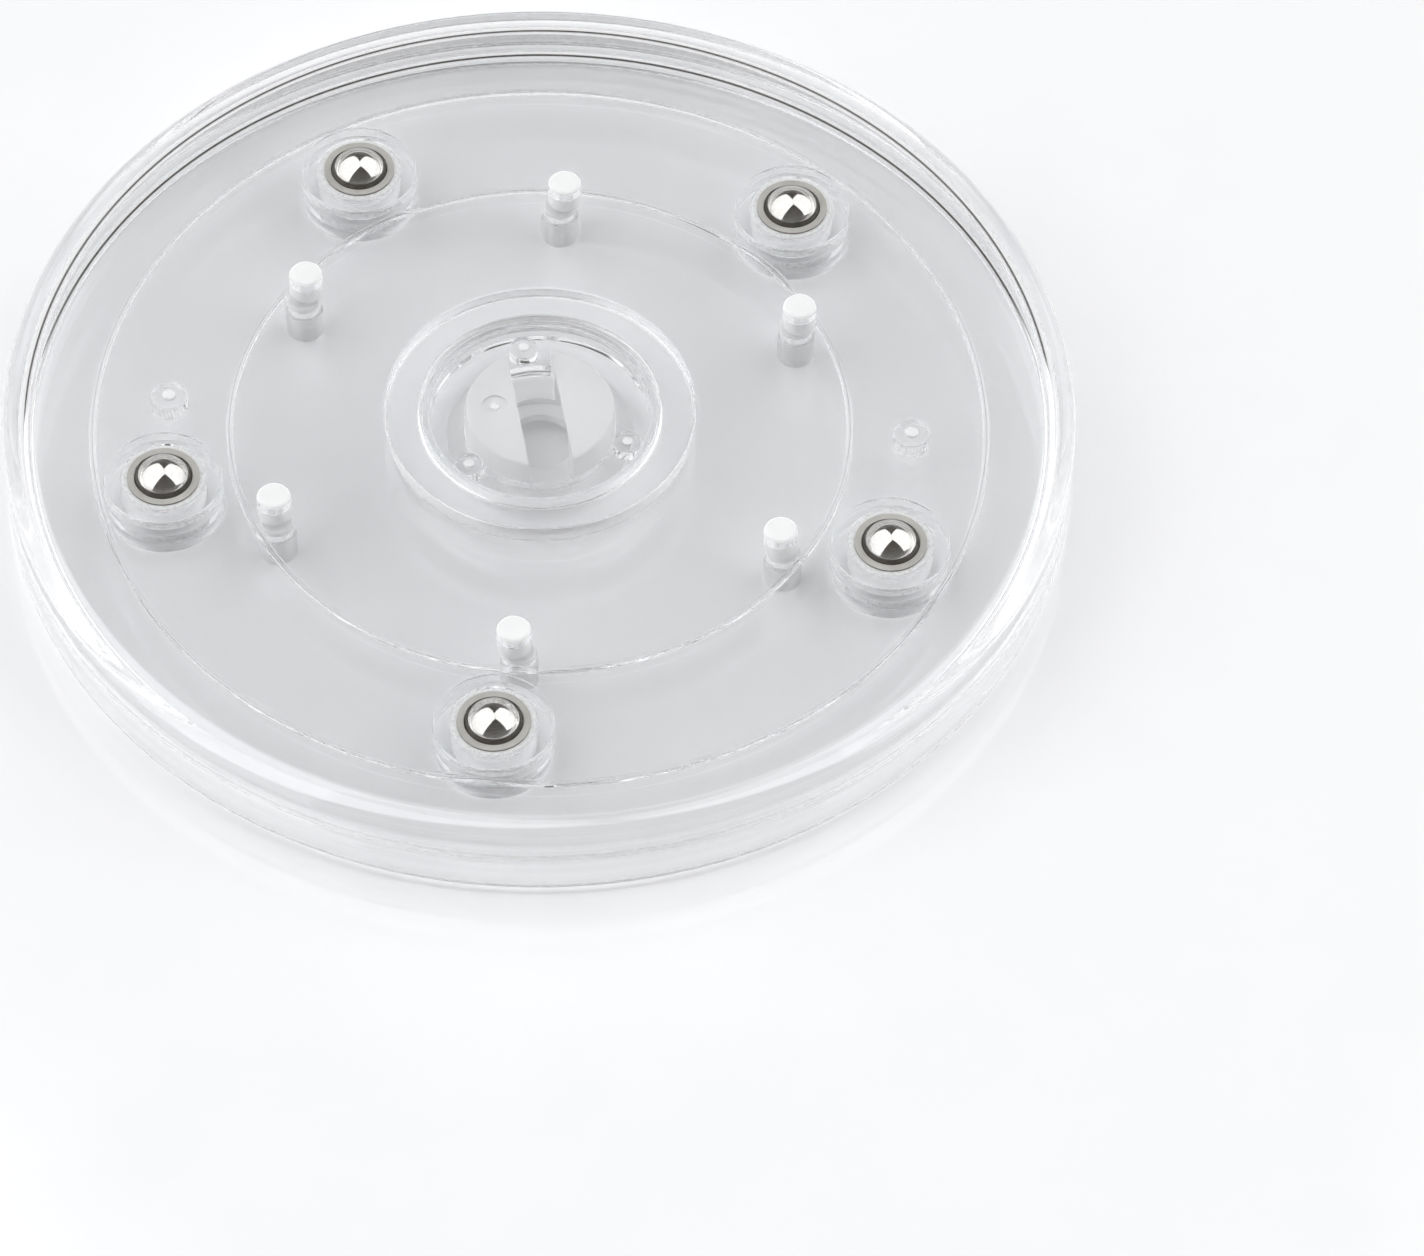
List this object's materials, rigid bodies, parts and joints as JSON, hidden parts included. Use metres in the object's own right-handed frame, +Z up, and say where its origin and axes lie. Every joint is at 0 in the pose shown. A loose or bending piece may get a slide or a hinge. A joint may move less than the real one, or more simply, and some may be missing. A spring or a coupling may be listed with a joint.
{
  "type": "turntable display stand",
  "caption": "Low round turntable of clear plastic: a display disc turns on steel balls held in cups in a base disc, for showing models.",
  "frame": {"origin": "on the turning axis, at the underside of the feet", "axes": "+Z up along the turning axis, +X to the right of the stand as shown"},
  "size_m": [0.14, 0.14, 0.0125],
  "materials": {
    "clear_acrylic": "clear polished acrylic",
    "frosted_plastic": "frosted translucent plastic",
    "steel": "polished bearing steel",
    "cup_plastic": "translucent nylon",
    "ring_plastic": "satin beige-grey nylon",
    "silicone": "translucent silicone"
  },
  "bodies": {
    "base": {"base_disc": "clear_acrylic", "ball_cup_1": "cup_plastic", "ball_cup_2": "cup_plastic", "ball_cup_3": "cup_plastic", "ball_cup_4": "cup_plastic", "ball_cup_5": "cup_plastic", "retainer_ring_1": "ring_plastic", "retainer_ring_2": "ring_plastic", "retainer_ring_3": "ring_plastic", "retainer_ring_4": "ring_plastic", "retainer_ring_5": "ring_plastic", "foot_1": "silicone", "foot_2": "silicone", "foot_3": "silicone", "foot_4": "silicone", "foot_5": "silicone", "foot_6": "silicone"},
    "turntable": {"display_disc": "clear_acrylic", "retaining_hub": "frosted_plastic", "grip_pad_1": "silicone", "grip_pad_2": "silicone", "grip_pad_3": "silicone", "grip_pad_4": "silicone", "grip_pad_5": "silicone", "grip_pad_6": "silicone"},
    "bearing_ball_1": {"ball_1": "steel"},
    "bearing_ball_2": {"ball_2": "steel"},
    "bearing_ball_3": {"ball_3": "steel"},
    "bearing_ball_4": {"ball_4": "steel"},
    "bearing_ball_5": {"ball_5": "steel"}
  },
  "joints": [
    {"name": "disc_spin", "type": "hinge", "parent": "base", "child": "turntable", "pos_m": [0, 0, 0], "axis": [0, 0, 1], "continuous": true},
    {"name": "ball_1_roll", "type": "hinge", "parent": "base", "child": "bearing_ball_1", "pos_m": [-0.02414, 0.04356, 0.00597], "axis": [-0.4848, 0.8746, 0], "continuous": true},
    {"name": "ball_2_roll", "type": "hinge", "parent": "base", "child": "bearing_ball_2", "pos_m": [-0.04888, -0.0095, 0.00597], "axis": [-0.9816, -0.1908, 0], "continuous": true},
    {"name": "ball_3_roll", "type": "hinge", "parent": "base", "child": "bearing_ball_3", "pos_m": [-0.00607, -0.04943, 0.00597], "axis": [-0.1219, -0.9925, 0], "continuous": true},
    {"name": "ball_4_roll", "type": "hinge", "parent": "base", "child": "bearing_ball_4", "pos_m": [0.04513, -0.02105, 0.00597], "axis": [0.9063, -0.4226, 0], "continuous": true},
    {"name": "ball_5_roll", "type": "hinge", "parent": "base", "child": "bearing_ball_5", "pos_m": [0.03396, 0.03642, 0.00597], "axis": [0.682, 0.7314, 0], "continuous": true}
  ],
  "couplings": [
    {"joint": "ball_1_roll", "follows": "disc_spin", "ratio": -12.45},
    {"joint": "ball_2_roll", "follows": "disc_spin", "ratio": -12.45},
    {"joint": "ball_3_roll", "follows": "disc_spin", "ratio": -12.45},
    {"joint": "ball_4_roll", "follows": "disc_spin", "ratio": -12.45},
    {"joint": "ball_5_roll", "follows": "disc_spin", "ratio": -12.45}
  ]
}
